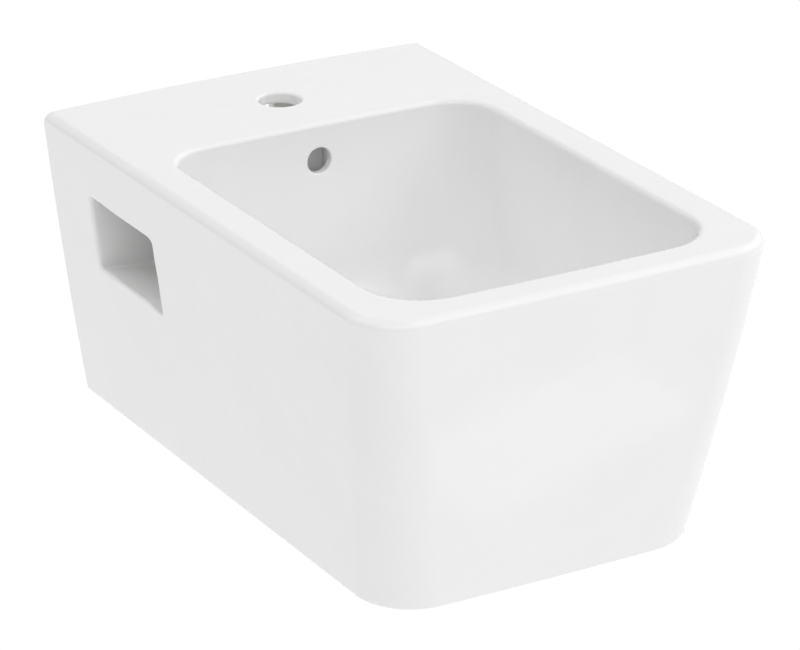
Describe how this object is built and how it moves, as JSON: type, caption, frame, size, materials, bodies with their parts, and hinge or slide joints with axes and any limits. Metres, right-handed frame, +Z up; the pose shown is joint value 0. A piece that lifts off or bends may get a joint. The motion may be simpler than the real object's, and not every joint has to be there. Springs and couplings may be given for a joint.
{
  "type": "wall-hung bidet",
  "caption": "Wall-hung bidet with a tapered rectangular ceramic body, deep bowl with overflow, tap hole, side access windows, stud fixings and a push-open waste.",
  "frame": {"origin": "on the finished wall, half-way between the two wall studs, 88 mm below the rim", "axes": "+Z up, +Y into the wall along the studs, -Y towards the user, +X to the right when facing the wall"},
  "size_m": [0.3626, 0.5836, 0.26],
  "materials": {
    "glazed_china": "glossy white glaze, bare biscuit on the wall face and inside",
    "zinc_steel": "bright zinc plate",
    "grey_nylon": "moulded nylon",
    "white_plastic": "satin moulded",
    "chrome_plate": "polished chrome plate",
    "black_rubber": "matt moulded rubber",
    "bare_brass": "machined brass",
    "spring_steel": "drawn stainless wire"
  },
  "bodies": {
    "body": {"ceramic_body": "glazed_china", "wall_studs": "zinc_steel", "stud_sleeves": "grey_nylon", "stud_washers": "zinc_steel", "stud_nuts": "zinc_steel", "nut_caps": "white_plastic", "waste_body": "chrome_plate", "flange_seal": "black_rubber", "lower_seal": "black_rubber", "slip_washer": "white_plastic", "lock_nut": "bare_brass", "click_cartridge": "bare_brass", "guide_bush": "grey_nylon", "cartridge_spring": "spring_steel"},
    "plug": {"plug_stem": "bare_brass", "plug_cap": "chrome_plate", "plug_seal": "black_rubber"}
  },
  "joints": [
    {"name": "plug_slide", "type": "slide", "parent": "body", "child": "plug", "axis": [0, 0, 1], "range_m": [-0.008, 0], "stiffness_N_per_m": 300, "springref_m": 0.01, "deforming": ["cartridge_spring"]}
  ]
}
